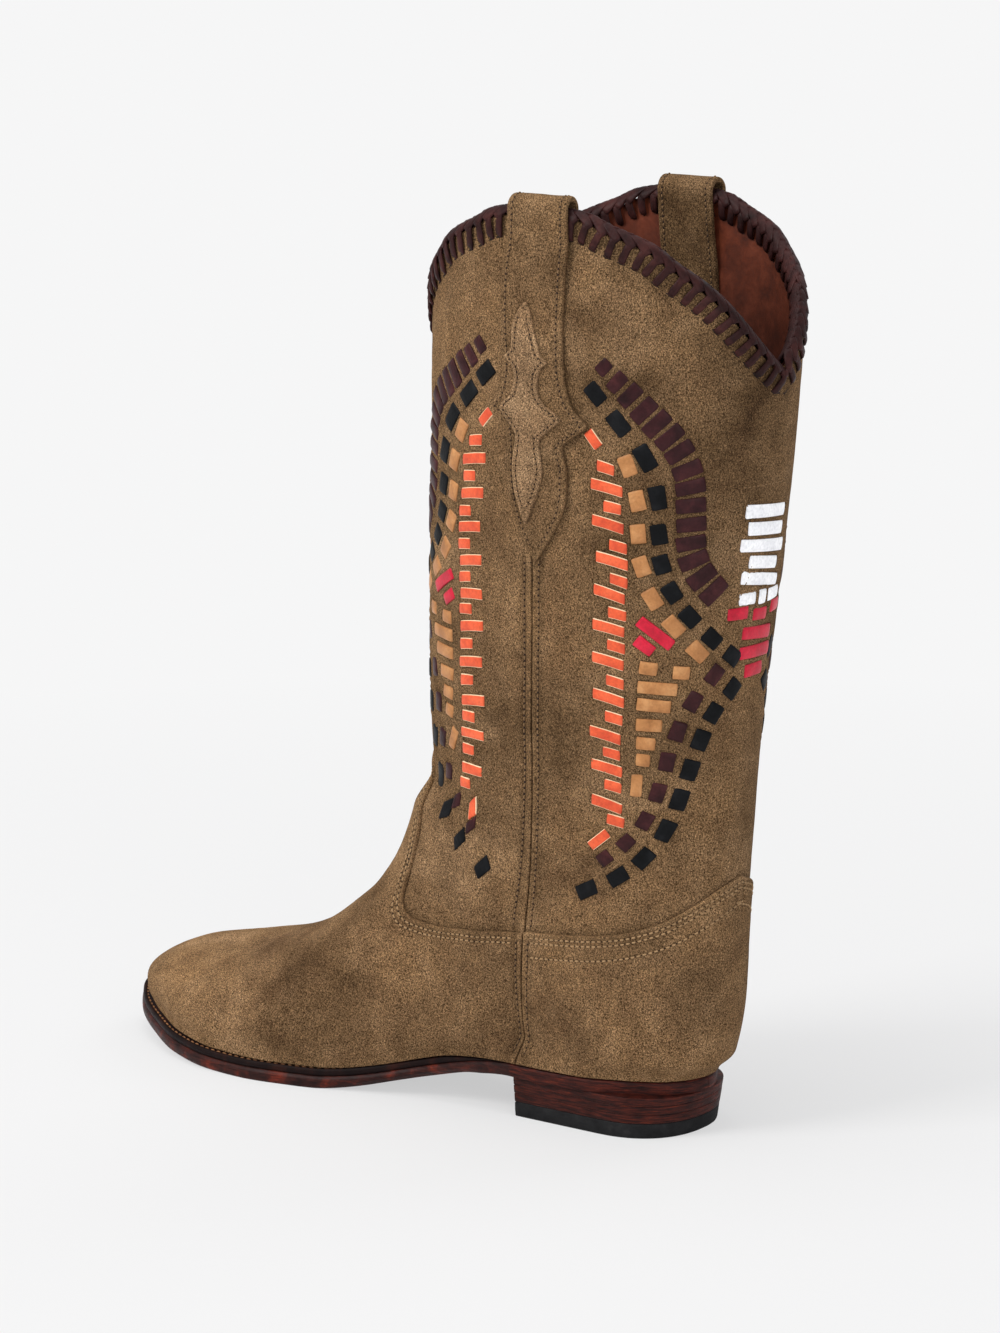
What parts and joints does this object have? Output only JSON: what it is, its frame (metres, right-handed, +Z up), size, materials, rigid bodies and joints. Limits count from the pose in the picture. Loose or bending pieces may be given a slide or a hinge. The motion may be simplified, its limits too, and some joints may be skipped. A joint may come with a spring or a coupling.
{
  "type": "cowboy boot",
  "caption": "Left pull-on cowboy boot in suede with woven leather strips, braided collar lacing, pull straps and a low stacked heel.",
  "frame": {"origin": "on the floor under the heel, on the heel base", "axes": "+Z up, -X toward the toe, -Y toward the lateral side"},
  "size_m": [0.301, 0.108, 0.3528],
  "materials": {
    "board": "matte",
    "cork": "matte",
    "heel_leather": "satin",
    "lace": "satin",
    "lining": "satin",
    "rubber": "matte",
    "sole_leather": "satin",
    "steel": "satin",
    "strip_black": "satin",
    "strip_orange": "satin",
    "strip_plum": "satin",
    "strip_red": "satin",
    "strip_tan": "satin",
    "strip_white": "satin",
    "suede": "matte",
    "suede_light": "matte",
    "tape": "matte",
    "thread": "matte"
  },
  "bodies": {
    "root": {"back_lining": "lining", "back_shaft_panel": "suede", "black_strips_back": "strip_black", "black_strips_front": "strip_black", "bottom_filler": "cork", "collar_lacing_back": "lace", "collar_lacing_front": "lace", "counter": "suede", "counter_lining": "lining", "counter_thread": "thread", "front_lining": "lining", "front_shaft_panel": "suede", "heel_lift_1": "heel_leather", "heel_lift_2": "heel_leather", "heel_lift_3": "heel_leather", "heel_nails": "steel", "heel_stiffener": "board", "heel_top_piece": "rubber", "insole": "board", "orange_strips_back": "strip_orange", "orange_strips_front": "strip_orange", "outsole": "sole_leather", "plum_strips_back": "strip_plum", "plum_strips_front": "strip_plum", "pull_strap_lateral": "suede", "pull_strap_medial": "suede", "red_strips_back": "strip_red", "red_strips_front": "strip_red", "shank": "steel", "side_seam_tape_lateral": "tape", "side_seam_tape_medial": "tape", "side_seam_thread_lateral": "thread", "side_seam_thread_medial": "thread", "sock_liner": "lining", "strap_overlay_lateral": "suede_light", "strap_overlay_medial": "suede_light", "tan_strips_back": "strip_tan", "tan_strips_front": "strip_tan", "toe_puff": "board", "vamp": "suede", "vamp_lining": "lining", "vamp_thread": "thread", "welt": "sole_leather", "white_strips_back": "strip_white", "white_strips_front": "strip_white"}
  },
  "joints": []
}
